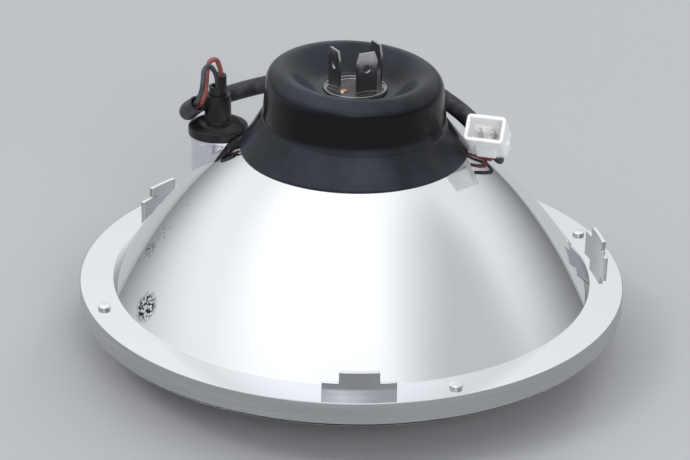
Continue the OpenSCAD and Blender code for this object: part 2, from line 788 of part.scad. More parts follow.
module wire_black() { color([0.2, 0.21, 0.23]) tube(black_route, wire_d, 8); }
module wire_red() { color([0.6, 0.2, 0.18]) tube(red_route, wire_d, 8); }
module lead_sleeve() { color([0.2, 0.2, 0.22]) tube(sleeve_route, sleeve_d, 12); }
module tail_black() { color([0.2, 0.21, 0.23]) tube(tail_black_route, wire_d, 8); }
module tail_red() { color([0.6, 0.2, 0.18]) tube(tail_red_route, wire_d, 8); }

// Connector, seen from its face: the local y axis runs from the face to the wires

face_at = [44.8, -15, 5.2];
face_turn = -15;
face_dip = -40;

module at_connector() {
    translate(face_at + [0, 0, seat_z])
        rotate([0, 0, face_turn]) rotate([face_dip, 0, 0]) children();
}

module rounded_bar(w, h, length, r) {
    translate([-w / 2, 0, r - h / 2]) cube([w, length, h - 2 * r]);
    translate([r - w / 2, 0, -h / 2]) cube([w - 2 * r, length, h]);
    for (x = [-1, 1]) for (z = [-1, 1])
        translate([x * (w / 2 - r), 0, z * (h / 2 - r)])
            rotate([-90, 0, 0]) cylinder(r = r, h = length, $fn = round_fn);
}

module connector_housing() {
    latch_w = 7;
    latch_drop = 1.6;
    latch_start = 4;
    rib_h = 1.6;
    color("ghostwhite") at_connector() {
        difference() {
            rounded_bar(conn_w, conn_h, conn_len, conn_round);
            translate([conn_wall - conn_w / 2, -1, conn_wall - conn_h / 2])
                cube([conn_w - 2 * conn_wall, conn_depth + 1, conn_h - 2 * conn_wall]);
            for (side = [-1, 1])
                translate([side * pin_pitch / 2 - 0.4, conn_depth - 1, -pin_w / 2])
                    cube([0.8, 4, pin_w]);
        }
        translate([-latch_w / 2, 0, -conn_h / 2]) rotate([90, 0, 90])
            linear_extrude(latch_w)
                polygon([[latch_start, 0], [conn_len - 5, -latch_drop], [conn_len - 3, -latch_drop],
                    [conn_len - 3, 0]]);
        translate([conn_w / 2, conn_len * 0.6, -conn_h / 2 + 2 * conn_round])
            cube([0.6, conn_len * 0.4, rib_h]);
    }
}

module connector_pins() {
    pin_t = 0.8;
    recess = 3;
    tip = 0.9;
    color("silver") at_connector() for (side = [-1, 1])
        translate([side * pin_pitch / 2 - pin_t / 2, 0, 0]) rotate([90, 0, 90])
            linear_extrude(pin_t)
                polygon([
                    [recess, tip - pin_w / 2], [recess + tip, -pin_w / 2], [conn_depth + 3, -pin_w / 2],
                    [conn_depth + 3, pin_w / 2], [recess + tip, pin_w / 2], [recess, pin_w / 2 - tip]
                ]);
}

reflector();
lens();
lens_seal();
seat_ring();
ring_screws();
bulb_clip();
prefocus_flange();
bulb_shell();
bulb_insulator();
blade_ground();
blade_low();
blade_high();
bulb_glass();
filament_leads();
filament_low();
filament_high();
dip_shield();
dust_boot();
pilot_grommet();
pilot_holder();
pilot_contacts();
pilot_bulb();
pilot_filament();
wire_black();
wire_red();
lead_sleeve();
tail_black();
tail_red();
connector_housing();
connector_pins();
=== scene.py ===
import math

import bmesh
import bpy
from mathutils import Matrix, Vector


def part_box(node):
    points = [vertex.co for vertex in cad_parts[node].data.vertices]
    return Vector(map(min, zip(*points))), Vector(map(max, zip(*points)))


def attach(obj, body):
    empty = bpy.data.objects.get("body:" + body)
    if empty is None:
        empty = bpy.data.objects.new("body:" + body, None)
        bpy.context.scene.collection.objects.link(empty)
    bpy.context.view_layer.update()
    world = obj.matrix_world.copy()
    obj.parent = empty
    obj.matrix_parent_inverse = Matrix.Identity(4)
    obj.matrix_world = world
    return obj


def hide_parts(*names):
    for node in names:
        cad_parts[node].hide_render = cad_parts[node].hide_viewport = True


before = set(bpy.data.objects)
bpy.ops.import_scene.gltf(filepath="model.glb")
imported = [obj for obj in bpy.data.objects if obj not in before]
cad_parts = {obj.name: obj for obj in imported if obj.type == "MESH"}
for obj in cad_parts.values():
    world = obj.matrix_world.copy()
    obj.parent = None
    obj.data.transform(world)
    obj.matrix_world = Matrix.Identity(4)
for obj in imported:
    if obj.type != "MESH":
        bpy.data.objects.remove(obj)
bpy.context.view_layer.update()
mm = 0.001

# Camera
# It looks down on the unit's back from the front, from a little over two
# thirds of a metre, tilted by about a degree as the hand held it.
flange_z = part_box("lens_seal")[1].z / mm + 2.4
camera_distance = 727
camera_elevation = math.radians(25.89)
camera_yaw, camera_lift, camera_roll = math.radians(-0.21), math.radians(1.13), math.radians(1.13)
photo_w = 690
focal_pixels = 2000
sensor_w = 36

camera = bpy.data.objects.new("camera", bpy.data.cameras.new("camera"))
bpy.context.collection.objects.link(camera)
camera.data.sensor_width = sensor_w
camera.data.lens = sensor_w * focal_pixels / photo_w
camera.data.clip_start = 0.02
camera_place = Vector((0, -math.cos(camera_elevation), math.sin(camera_elevation))) * camera_distance
camera.matrix_world = (
    Matrix.Translation((camera_place + Vector((0, 0, flange_z))) * mm)
    @ Matrix.Rotation(math.pi / 2 - camera_elevation, 4, "X")
    @ Matrix.Rotation(-camera_yaw, 4, "Y")
    @ Matrix.Rotation(camera_lift, 4, "X")
    @ Matrix.Rotation(camera_roll, 4, "Z")
)
bpy.context.scene.camera = camera

# Connector
# A two-way housing moulded in milky nylon, with a latch ramp under it and
# two crimped pins behind its open face.
def plain_material(name, base, roughness, metallic=0.0, **sockets):
    """A material whose even values stand on the shader's own sockets."""
    material = bpy.data.materials.new(name)
    material.use_nodes = True
    shader = material.node_tree.nodes["Principled BSDF"]
    shader.inputs["Base Color"].default_value = (*base, 1)
    shader.inputs["Roughness"].default_value = roughness
    shader.inputs["Metallic"].default_value = metallic
    for socket, value in sockets.items():
        shader.inputs[socket.replace("_", " ")].default_value = value
    return material


def noise(material, scale, detail=3.0, stretch=(1, 1, 1), turn=(0, 0, 0)):
    """A noise pattern fixed to the piece, stretched along its own axes."""
    nodes, links = material.node_tree.nodes, material.node_tree.links
    place = nodes.new("ShaderNodeTexCoord")
    mapping = nodes.new("ShaderNodeMapping")
    mapping.inputs["Scale"].default_value = stretch
    mapping.inputs["Rotation"].default_value = turn
    pattern = nodes.new("ShaderNodeTexNoise")
    pattern.inputs["Scale"].default_value = scale
    pattern.inputs["Detail"].default_value = detail
    links.new(place.outputs["Object"], mapping.inputs["Vector"])
    links.new(mapping.outputs["Vector"], pattern.inputs["Vector"])
    return pattern.outputs["Fac"]


def ranged(material, value, from_low, from_high, to_low=0.0, to_high=1.0):
    """A value moved from one range to another and held inside it."""
    node = material.node_tree.nodes.new("ShaderNodeMapRange")
    material.node_tree.links.new(value, node.inputs["Value"])
    node.inputs["From Min"].default_value = from_low
    node.inputs["From Max"].default_value = from_high
    node.inputs["To Min"].default_value = to_low
    node.inputs["To Max"].default_value = to_high
    return node.outputs["Result"]


def math_of(material, operation, a, b):
    """One sum on two values, each a socket or a number."""
    node = material.node_tree.nodes.new("ShaderNodeMath")
    node.operation = operation
    for socket, value in zip(node.inputs, (a, b)):
        if isinstance(value, (int, float)):
            socket.default_value = value
        else:
            material.node_tree.links.new(value, socket)
    return node.outputs["Value"]


def mixed(material, factor, a, b):
    """A colour between a and b, which are colours or sockets."""
    node = material.node_tree.nodes.new("ShaderNodeMix")
    node.data_type = "RGBA"
    material.node_tree.links.new(factor, node.inputs["Factor"])
    for name, value in (("A", a), ("B", b)):
        socket = next(s for s in node.inputs if s.name == name and s.type == "RGBA")
        if isinstance(value, tuple):
            socket.default_value = (*value, 1)
        else:
            material.node_tree.links.new(value, socket)
    return next(s for s in node.outputs if s.type == "RGBA")


def into(material, value, socket):
    """Joins a value to one of the shader's sockets."""
    shader = material.node_tree.nodes["Principled BSDF"]
    material.node_tree.links.new(value, shader.inputs[socket])


def coloured(material, pattern, dark, light, start=0.3):
    """A base colour between two, as a pattern has it."""
    into(material, mixed(material, ranged(material, pattern, start, 0.7), dark, light), "Base Color")


def roughened(material, pattern, smooth, dull):
    """A roughness between two, as a pattern has it."""
    into(material, ranged(material, pattern, 0.3, 0.7, smooth, dull), "Roughness")


def bumped(material, height, depth):
    """Raises the surface by depth, in millimetres, where height is one. Calls add up."""
    nodes, links = material.node_tree.nodes, material.node_tree.links
    bump = nodes.new("ShaderNodeBump")
    bump.inputs["Distance"].default_value = depth * mm
    bump.inputs["Strength"].default_value = 1
    links.new(height, bump.inputs["Height"])
    normal = nodes["Principled BSDF"].inputs["Normal"]
    if normal.is_linked:
        links.new(normal.links[0].from_socket, bump.inputs["Normal"])
    links.new(bump.outputs["Normal"], normal)


def softened(node, width, segments=2):
    """A copy of a CAD node with its flat faces made whole and a small round on its edges."""
    form = bmesh.new()
    form.from_mesh(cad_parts[node].data)
    bmesh.ops.remove_doubles(form, verts=form.verts, dist=2e-6)
    bmesh.ops.dissolve_limit(form, angle_limit=math.radians(1), verts=form.verts, edges=form.edges)
    sharp = [e for e in form.edges if e.is_manifold and e.calc_face_angle() > math.radians(40)]
    bmesh.ops.bevel(
        form, geom=sharp, offset=width * mm, segments=segments, profile=0.5, affect="EDGES", material=-1,
        clamp_overlap=True,
    )
    return form


def finished(form, name, material, nodes=(), sharp=32):
    """Makes a form a piece of the unit: smooth but for its edges, with its finish, riding on the root."""
    mesh = bpy.data.meshes.new(name)
    form.to_mesh(mesh)
    form.free()
    mesh.shade_smooth()
    mesh.set_sharp_from_angle(angle=math.radians(sharp))
    mesh.materials.append(material)
    piece = bpy.data.objects.new(name, mesh)
    bpy.context.collection.objects.link(piece)
    piece.modifiers.new("flat_faces", "WEIGHTED_NORMAL").keep_sharp = True
    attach(piece, "root")
    if nodes:
        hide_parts(*nodes)
    return piece


nylon = plain_material(
    "milky_nylon", (0.86, 0.86, 0.86), 0.3, IOR=1.53,
    Subsurface_Weight=0.8, Subsurface_Scale=0.003, Subsurface_Radius=(1, 1, 1),
)
coloured(nylon, noise(nylon, 120, 3), (0.9, 0.9, 0.91), (0.94, 0.94, 0.94))
roughened(nylon, noise(nylon, 300, 3), 0.26, 0.38)
bumped(nylon, noise(nylon, 300, 2), 0.004)
finished(
    softened("connector_housing", 0.42, 4), "connector_housing_moulding", nylon,
    ["connector_housing"],
)
tinned = plain_material("tinned_brass", (0.62, 0.6, 0.55), 0.3, 1.0)
roughened(tinned, noise(tinned, 800, 4), 0.22, 0.42)
finished(softened("connector_pins", 0.1), "connector_pin_pair", tinned, ["connector_pins"])

# Lead
# Two thin insulated wires loop out of the pilot lamp's holder into a soft
# black sleeve, which runs round the back of the boot to the connector.
black_route = [
    (-50.1, 28.9, 81.7), (-50.1, 28.8, 86), (-50.4, 28.6, 89.4), (-51.3, 27.8, 92.4), (-53, 26, 94.6),
    (-54.4, 24, 94), (-54.8, 22.4, 91), (-55.2, 21.4, 87.6), (-56.2, 21.6, 84.4), (-57.2, 22.8, 81.8),
    (-57.9, 25, 80.7),
]
red_route = [
    (-49.2, 31.1, 81.7), (-49.1, 31.1, 86), (-49, 31, 89.8), (-49.6, 30.4, 93.4), (-50.9, 29.4, 96),
    (-52.6, 28.6, 95.6), (-53.6, 28.3, 92.8), (-53.9, 27, 89.6), (-54.1, 25.4, 86.4),
    (-54.7, 24.5, 83.6), (-55.5, 24.5, 81.4), (-56.3, 25.6, 79.9),
]
sleeve_route = [
    (-57.3, 25.1, 80.3), (-59.6, 27, 77.6), (-61.2, 30.4, 75.2), (-60.8, 34.8, 74.6), (-58, 38.8, 75),
    (-53.4, 41.4, 76), (-48, 42.7, 77.4), (-42, 43.2, 79.2), (-36, 43, 81), (-26, 41.8, 83.9),
    (-16, 40.4, 86.2), (-7, 38.9, 87.4), (3, 37.9, 87.6), (13, 35.7, 87.5), (21.6, 31.2, 87.2),
    (28.8, 25.1, 86.4), (34.2, 19, 84.9), (38.5, 14.5, 83.1), (42, 10, 81.3),
]
tail_black_route = [
    (42.8, 10.7, 81.3), (45.4, 8.4, 79.7), (47.6, 7.2, 76.4), (49, 6.6, 72.4), (50.6, 5.2, 69.4),
    (52.2, 3.4, 69), (52.4, 1.6, 71.4), (51.6, -0.4, 74.6), (50.9, -1.9, 76.9), (50.4, -3.7, 78.4),
]
tail_red_route = [
    (41.2, 9.3, 81.3), (43.4, 7.4, 79.2), (45, 6.4, 75.8), (46, 5.6, 72.4), (47.2, 4.4, 70.4),
    (48.6, 2.6, 70.4), (48.6, 0.9, 72.8), (47.4, -0.4, 75.6), (46.5, -1.3, 77.2), (46, -2.6, 78.4),
]
wire_d, sleeve_d, sleeve_wall = 1.8, 6.4, 0.8


def cord_curve(name, route, diameter, capped=True):
    """A round cord along a smooth line through the route's points."""
    curve = bpy.data.curves.new(name, "CURVE")
    curve.dimensions = "3D"
    curve.resolution_u = 6
    curve.bevel_depth = diameter / 2 * mm
    curve.bevel_resolution = 5
    curve.use_fill_caps = capped
    line = curve.splines.new("BEZIER")
    line.bezier_points.add(len(route) - 1)
    for point, place in zip(line.bezier_points, route):
        point.co = Vector(place) * mm
        point.handle_left_type = point.handle_right_type = "AUTO"
    piece = bpy.data.objects.new(name, curve)
    bpy.context.collection.objects.link(piece)
    return piece


def inside_sleeve(start, end):
    """The wire's way through the sleeve: the sleeve's own line, moved as the wire's ends lie in it."""
    first, last = start - Vector(sleeve_route[0]), end - Vector(sleeve_route[-1])
    middle = sleeve_route[1:-1]
    return [
        tuple(Vector(place) + 0.75 * first.lerp(last, (i + 1) / (len(middle) + 1)))
        for i, place in enumerate(middle)
    ]


def wire_finish(name, dark, light):
    """Soft insulation with a dull, slightly dusty skin."""
    material = plain_material(name, dark, 0.42, Specular_IOR_Level=0.4)
    coloured(material, noise(material, 220), dark, light, start=0.35)
    roughened(material, noise(material, 900), 0.36, 0.55)
    bumped(material, noise(material, 1600), 0.02)
    return material


black_insulation = wire_finish("black_insulation", (0.035, 0.038, 0.045), (0.075, 0.08, 0.09))
red_insulation = wire_finish("red_insulation", (0.2, 0.05, 0.048), (0.33, 0.11, 0.1))
wires = {}
for colour, start_route, end_route, finish, nodes in (
    ("black", black_route, tail_black_route, black_insulation, ("wire_black", "tail_black")),
    ("red", red_route, tail_red_route, red_insulation, ("wire_red", "tail_red")),
):
    through = inside_sleeve(Vector(start_route[-1]), Vector(end_route[0]))
    route = start_route + through + end_route
    wire = cord_curve(f"{colour}_wire", route, wire_d)
    wire.data.materials.append(finish)
    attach(wire, "root")
    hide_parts(*nodes)
    wires[colour] = wire

bent_tube = cord_curve("sleeve_line", sleeve_route, sleeve_d, capped=False)
bent_tube.data.bevel_resolution = 10
bpy.context.view_layer.update()
tube_shape = bpy.data.meshes.new_from_object(bent_tube.evaluated_get(bpy.context.evaluated_depsgraph_get()))
bpy.data.objects.remove(bent_tube)
sleeve = bpy.data.objects.new("sleeve", tube_shape)
bpy.context.collection.objects.link(sleeve)
wall = sleeve.modifiers.new("wall", "SOLIDIFY")
wall.thickness = sleeve_wall * mm
wall.offset = -1
tube_shape.shade_smooth()
sleeve_rubber = plain_material("sleeve_rubber", (0.03, 0.032, 0.037), 0.5, Specular_IOR_Level=0.45)
dust = ranged(sleeve_rubber, noise(sleeve_rubber, 260, 5), 0.45, 0.75)
into(sleeve_rubber, mixed(sleeve_rubber, dust, (0.022, 0.023, 0.027), (0.07, 0.073, 0.082)), "Base Color")
roughened(sleeve_rubber, noise(sleeve_rubber, 700), 0.42, 0.62)
bumped(sleeve_rubber, noise(sleeve_rubber, 2400), 0.03)
tube_shape.materials.clear()
tube_shape.materials.append(sleeve_rubber)
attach(sleeve, "root")
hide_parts("lead_sleeve")

# Reflector
# One thin-walled plastic moulding, vacuum-metallised to a mirror inside and
# out: bowl, flange with its rim channel, and the neck that seats the bulb.
flange_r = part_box("reflector")[1].x / mm
rim_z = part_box("reflector")[0].z / mm
rim_t, flange_t, rim_edge = 2.6, 2.4, 0.4
bowl_r, bowl_focal, bowl_t, mouth_t = 86, 30.2, 3, 2.2
apex_z = flange_z + bowl_r ** 2 / (4 * bowl_focal)


def bowl_z(r):
    """Height of the bowl's outer surface at a distance from the axis."""
    return apex_z - r * r / (4 * bowl_focal)


neck_r, neck_t, bulb_hole_r = 30, 2.4, 19
seat_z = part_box("prefocus_flange")[1].z / mm - 1
floor_z = seat_z - 0.8
neck_top_z = seat_z + 3.6


def rounded(corners, steps=4):
    """An outline of corners (radius, height, fillet), each with its fillet worked out."""
    outline = []
    for i, (r, z, fillet) in enumerate(corners):
        here = Vector((r, z))
        if not fillet:
            outline.append(here)
            continue
        before = (Vector(corners[i - 1][:2]) - here).normalized()
        after = (Vector(corners[(i + 1) % len(corners)][:2]) - here).normalized()
        half = before.angle(after) / 2
        middle = here + (before + after).normalized() * fillet / math.sin(half)
        start = here + before * fillet / math.tan(half) - middle
        end = here + after * fillet / math.tan(half) - middle
        for s in range(steps + 1):
            outline.append(middle + start.lerp(end, s / steps).normalized() * fillet)
    return outline


def spun(outline, steps=128, closed=True):
    """A turned form: an outline of (radius, height) spun about the axis. A radius of nought is a pole."""
    form = bmesh.new()
    ring = [form.verts.new((r * mm, 0, z * mm)) for r, z in outline]
    edges = [form.edges.new(pair) for pair in zip(ring, ring[1:])]
    if closed:
        edges.append(form.edges.new((ring[-1], ring[0])))
    bmesh.ops.spin(
        form, geom=ring + edges, cent=(0, 0, 0), axis=(0, 0, 1), angle=2 * math.pi, steps=steps,
        use_merge=True,
    )
    bmesh.ops.remove_doubles(form, verts=form.verts, dist=1e-7)
    bmesh.ops.dissolve_degenerate(form, edges=form.edges, dist=1e-8)
    bmesh.ops.recalc_face_normals(form, faces=form.faces)
    return form


def axis_distance(material):
    """Distance from the optical axis, in millimetres, and the height."""
    nodes, links = material.node_tree.nodes, material.node_tree.links
    place = nodes.new("ShaderNodeTexCoord")
    parts = nodes.new("ShaderNodeSeparateXYZ")
    links.new(place.outputs["Object"], parts.inputs[0])
    squares = [math_of(material, "MULTIPLY", parts.outputs[axis], parts.outputs[axis]) for axis in "XY"]
    radius = math_of(material, "SQRT", math_of(material, "ADD", *squares), 0.0)
    return math_of(material, "DIVIDE", radius, mm), math_of(material, "DIVIDE", parts.outputs["Z"], mm)


def spot(material, centre, size):
    """One inside a stretched ball about centre, falling to nought at its edge. Sizes in millimetres."""
    nodes, links = material.node_tree.nodes, material.node_tree.links
    place = nodes.new("ShaderNodeTexCoord")
    away = nodes.new("ShaderNodeVectorMath")
    away.operation = "SUBTRACT"
    away.inputs[1].default_value = Vector(centre) * mm
    scaled = nodes.new("ShaderNodeVectorMath")
    scaled.operation = "DIVIDE"
    scaled.inputs[1].default_value = Vector(size) * mm
    length = nodes.new("ShaderNodeVectorMath")
    length.operation = "LENGTH"
    links.new(place.outputs["Object"], away.inputs[0])
    links.new(away.outputs[0], scaled.inputs[0])
    links.new(scaled.outputs[0], length.inputs[0])
    return ranged(material, length.outputs["Value"], 1.0, 0.6)


# The mirror coat, with the places where it has flaked off
metallised = plain_material("metallised", (0.9, 0.905, 0.92), 0.035, 1.0)
bumped(metallised, noise(metallised, 28, 1), 0.012)
from_axis, height = axis_distance(metallised)
rim_wall = ranged(metallised, from_axis, flange_r - 0.3, flange_r - 0.15)
along_rim = noise(metallised, 26, 4, stretch=(1, 1, 22))
coat = ranged(metallised, noise(metallised, 60, 2), 0.3, 0.7, 0.025, 0.06)
ground = ranged(metallised, along_rim, 0.3, 0.7, 0.2, 0.3)
ground_wall = math_of(metallised, "MULTIPLY", ground, rim_wall)
into(metallised, math_of(metallised, "MAXIMUM", coat, ground_wall), "Roughness")
flaked = None
for centre, size, scale, level in (
    ((-70.2, -43, 31.9), (5.5, 6.5, 6), 1000, 0.47),
    ((-70.8, -20.7, 43), (4.5, 4.5, 3.2), 800, 0.54),
    ((-65.4, -19, 49), (6, 6, 4), 800, 0.63),
    ((-58.6, -17.4, 57.1), (5, 5, 3), 900, 0.63),
):
    flakes = ranged(metallised, noise(metallised, scale, 5), level, level + 0.03)
    patch = math_of(metallised, "MULTIPLY", flakes, spot(metallised, centre, size))
    flaked = patch if flaked is None else math_of(metallised, "MAXIMUM", flaked, patch)
# The rim wall is painted a streaked grey, darker than the mirror coat: a painted shade on the upright wall
streaked = ranged(metallised, along_rim, 0.3, 0.7)
wall_painted_shade = mixed(metallised, streaked, (0.46, 0.463, 0.48), (0.53, 0.533, 0.55))
coated = mixed(metallised, rim_wall, (0.9, 0.905, 0.92), wall_painted_shade)
into(metallised, mixed(metallised, flaked, coated, (0.03, 0.03, 0.033)), "Base Color")

# The rim wall and the upright faces of tabs and studs have a satin finish, painted a
# darker grey as a painted shade, and their tops are painted bright as a painted highlight
satin_and_painted_shade = plain_material("satin_coat_and_painted_shade", (0.5, 0.505, 0.52), 0.16, 1.0)
brushed = noise(satin_and_painted_shade, 60, 4, stretch=(1, 1, 0.15))
# Upright faces are painted a darker grey and faces that look up are painted near white: a painted shade and
# a painted highlight set by which way each face points
painted_upright_shade = mixed(satin_and_painted_shade, ranged(satin_and_painted_shade, brushed, 0.3, 0.7), (0.36, 0.363, 0.38), (0.46, 0.463, 0.48))
facing = satin_and_painted_shade.node_tree.nodes.new("ShaderNodeSeparateXYZ")
place = satin_and_painted_shade.node_tree.nodes.new("ShaderNodeTexCoord")
satin_and_painted_shade.node_tree.links.new(place.outputs["Normal"], facing.inputs[0])
painted_top_highlight = ranged(satin_and_painted_shade, facing.outputs["Z"], 0.3, 0.6)
into(satin_and_painted_shade, mixed(satin_and_painted_shade, painted_top_highlight, painted_upright_shade, (0.97, 0.975, 0.98)), "Base Color")
roughened(satin_and_painted_shade, noise(satin_and_painted_shade, 160, 4), 0.1, 0.2)
bumped(satin_and_painted_shade, brushed, 0.004)

inner_steps, outer_steps = 44, 56
mouth_r = bowl_r - mouth_t
channel_r = flange_r - rim_t
inside = [
    Vector((r, bowl_z(r) - bowl_t))
    for r in (mouth_r + (bulb_hole_r - mouth_r) * i / inner_steps for i in range(inner_steps + 1))
]
pocket = rounded([
    (bulb_hole_r, bowl_z(bulb_hole_r) - bowl_t, 0), (bulb_hole_r, floor_z, 0.2),
    (neck_r - neck_t, floor_z, 0.2), (neck_r - neck_t, neck_top_z, 0.4),
    (neck_r, neck_top_z, 0.4), (neck_r, bowl_z(neck_r), 0),
])[1:-1]
outside = [
    Vector((r, bowl_z(r)))
    for r in (neck_r + (bowl_r - 0.4 - neck_r) * i / outer_steps for i in range(outer_steps + 1))
]
rim = rounded([
    (bowl_r - 0.4, bowl_z(bowl_r - 0.4), 0), (bowl_r, flange_z, 0.25), (flange_r, flange_z, rim_edge),
    (flange_r, rim_z, rim_edge), (channel_r, rim_z, 0.3), (channel_r, flange_z - flange_t, 0.3),
    (bowl_r, flange_z - flange_t, 0.3), (bowl_r, rim_z, 0.3), (mouth_r, rim_z, 0),
])[1:-1]
moulding = finished(
    spun([Vector((mouth_r, rim_z))] + inside + pocket + outside + rim, steps=256),
    "reflector_moulding", metallised, ["reflector"],
)

# The pilot tube stands on the bowl round a hole, under a level landing for
# the grommet's cap
pilot_x, pilot_y = -50.14, 30.13
pilot_r, pilot_t, bead_r, bead_h = 10, 1.8, 10.7, 1.4
cap_r, cap_h, cap_rise = 11, 3.4, 1.6
pilot_top_z = bowl_z(math.hypot(pilot_x, pilot_y) - cap_r) - 2
for radius, low_z, high_z in (
    (pilot_r - pilot_t / 2, flange_z, apex_z), (cap_r + 0.1, pilot_top_z, pilot_top_z + cap_h),
):
    cutter_form = bmesh.new()
    bmesh.ops.create_cone(
        cutter_form, cap_ends=True, segments=96, radius1=radius * mm, radius2=radius * mm,
        depth=(high_z - low_z) * mm,
        matrix=Matrix.Translation(Vector((pilot_x, pilot_y, (low_z + high_z) / 2)) * mm),
    )
    cutter_mesh = bpy.data.meshes.new("cutter")
    cutter_form.to_mesh(cutter_mesh)
    cutter_form.free()
    cutter = bpy.data.objects.new("cutter", cutter_mesh)
    bpy.context.collection.objects.link(cutter)
    cut = moulding.modifiers.new("pilot_cut", "BOOLEAN")
    cut.operation = "DIFFERENCE"
    cut.solver = "EXACT"
    cut.object = cutter
    bpy.context.view_layer.update()
    cut_moulding = moulding.evaluated_get(bpy.context.evaluated_depsgraph_get())
    cut_mesh = bpy.data.meshes.new_from_object(cut_moulding)
    moulding.modifiers.clear()
    moulding.data = cut_mesh
    bpy.data.objects.remove(cutter)
moulding.data.set_sharp_from_angle(angle=math.radians(32))

tube = spun(rounded([
    (pilot_r - pilot_t, 0, 0), (pilot_r - pilot_t, pilot_top_z, 0.3), (bead_r, pilot_top_z, 0.5),
    (bead_r, pilot_top_z - bead_h, 0.6), (pilot_r, pilot_top_z - bead_h - 0.4, 0.2), (pilot_r, 0, 0),
]), steps=96)
for corner in tube.verts:
    corner.co.x += pilot_x * mm
    corner.co.y += pilot_y * mm
    if corner.co.z < flange_z * mm:
        corner.co.z = (bowl_z(corner.co.xy.length / mm) - bowl_t / 2) * mm
bmesh.ops.recalc_face_normals(tube, faces=tube.faces)
# The tube's coat is painted darker than the bowl's, a painted shade that sets it off from the floor
tube_painted_shade = plain_material("tube_painted_shade", (0.72, 0.725, 0.75), 0.06, 1.0)
coloured(tube_painted_shade, noise(tube_painted_shade, 90, 3, stretch=(1, 1, 0.3)), (0.66, 0.665, 0.69), (0.76, 0.765, 0.79))
roughened(tube_painted_shade, noise(tube_painted_shade, 60, 2), 0.04, 0.09)
bumped(tube_painted_shade, noise(tube_painted_shade, 28, 1), 0.012)
finished(tube, "pilot_tube", tube_painted_shade, ["reflector"])

# Stepped tabs and low studs are moulded on the flange
tab_angles = (10, 143, 272)
tab_w, tab_top_w, tab_shoulder_h, tab_h, tab_t = 24.5, 13.3, 4.8, 8.7, 1.6
tab_face_r, tab_edge = flange_r - 4.6, 0.3
for number, angle in enumerate(tab_angles):
    tab = bmesh.new()
    columns = [tab_w / 2 * side * i / 5 for side in (-1, 1) for i in range(1, 6)] + [0]
    columns = [x for x in columns if abs(abs(x) - tab_top_w / 2) > 0.4]
    columns = sorted(columns + [-tab_top_w / 2, tab_top_w / 2])
    corners = {}
    for left, right in zip(columns, columns[1:]):
        raised = abs(left + right) < tab_top_w
        for low, high in ((-0.6, tab_shoulder_h), (tab_shoulder_h, tab_h))[:1 + raised]:
            places = ((left, low), (right, low), (right, high), (left, high))
            for x, up in places:
                if (x, up) not in corners:
                    corners[x, up] = tab.verts.new((x * mm, 0, (flange_z + up) * mm))
            tab.faces.new([corners[place] for place in places])
    front = tab.faces[:]
    extruded = bmesh.ops.extrude_face_region(tab, geom=front)
    moved = [g for g in extruded["geom"] if isinstance(g, bmesh.types.BMVert)]
    bmesh.ops.translate(tab, verts=moved, vec=(0, tab_t * mm, 0))
    rims = [e for e in tab.edges if e.is_manifold and e.calc_face_angle() > math.radians(60)]
    bmesh.ops.bevel(
        tab, geom=rims, offset=tab_edge * mm, segments=3, profile=0.5, affect="EDGES", material=-1,
        clamp_overlap=True,
    )
    for corner in tab.verts:
        turn = math.radians(angle) + corner.co.x / (tab_face_r * mm)
        reach = tab_face_r * mm - corner.co.y
        corner.co.x, corner.co.y = reach * math.cos(turn), reach * math.sin(turn)
    bmesh.ops.recalc_face_normals(tab, faces=tab.faces)
    finished(tab, f"flange_tab_{number + 1}", satin_and_painted_shade, ["reflector"])

stud_r, stud_h, stud_pitch_r = 2.2, 1.2, flange_r - 5.6
for number in range(4):
    angle = math.radians(22 + 90 * number)
    stud = spun(rounded([
        (0, flange_z - 0.5, 0), (stud_r, flange_z - 0.5, 0),
        (stud_r, flange_z + stud_h, 0.5), (0, flange_z + stud_h, 0),
    ]), steps=32, closed=False)
    stud_place = Vector((math.cos(angle), math.sin(angle), 0)) * stud_pitch_r * mm
    bmesh.ops.translate(stud, verts=stud.verts, vec=stud_place)
    finished(stud, f"flange_stud_{number + 1}", satin_and_painted_shade, ["reflector"])

# Lens
# A clear moulded dome whose tongue stands in the channel behind the rim,
# bedded in a ring of dark sealant.
lens_crown, lens_t, lens_shoulder = 18, 3.2, 1.5
lens_edge_r = flange_r - 1
dome_r = lens_edge_r - lens_shoulder / 2
ball_r = (dome_r ** 2 + lens_crown ** 2) / (2 * lens_crown)
step_r = mouth_r - 1.5
tongue_r, tongue_w = (bowl_r + channel_r) / 2, 4
tongue_top_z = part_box("lens_seal")[0].z / mm


def dome(radius, reach, steps):
    """Points along a ball's under side, from the axis out to a reach."""
    widest = math.asin(reach / radius)
    turns = [widest * i / steps for i in range(steps + 1)]
    return [Vector((radius * math.sin(t), ball_r - radius * math.cos(t))) for t in turns]


lens_outline = (
    dome(ball_r, lens_edge_r - lens_shoulder, 36)
    + rounded([
        (lens_edge_r - lens_shoulder, lens_crown - 0.9, 0), (lens_edge_r, lens_crown, 0.4),
        (lens_edge_r, rim_z, 0.2),
        (tongue_r + tongue_w / 2, rim_z, 0.2), (tongue_r + tongue_w / 2, tongue_top_z, 0.3),
        (tongue_r - tongue_w / 2, tongue_top_z, 0.3), (tongue_r - tongue_w / 2, rim_z, 0.2),
        (step_r, rim_z, 0.3), (step_r - 2, rim_z - 4, 0),
    ])[1:-1]
    + dome(ball_r - lens_t, step_r - 2, 36)[::-1]
)
clear = plain_material("clear_lens", (1, 1, 1), 0.015, 0.0, Transmission_Weight=1.0, IOR=1.49)
bumped(clear, noise(clear, 24, 1), 0.006)
roughened(clear, noise(clear, 40, 2), 0.008, 0.03)
finished(spun(lens_outline, steps=192, closed=False), "lens_dome", clear, ["lens"])

sealant = plain_material("sealant", (0.035, 0.035, 0.038), 0.6)
roughened(sealant, noise(sealant, 500, 4), 0.5, 0.75)
bumped(sealant, noise(sealant, 300, 4), 0.1)


def dressed(node, material):
    """A CAD node that keeps its shape and gets its finish."""
    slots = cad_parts[node].data.materials
    slots.clear()
    slots.append(material)


dressed("lens_seal", sealant)

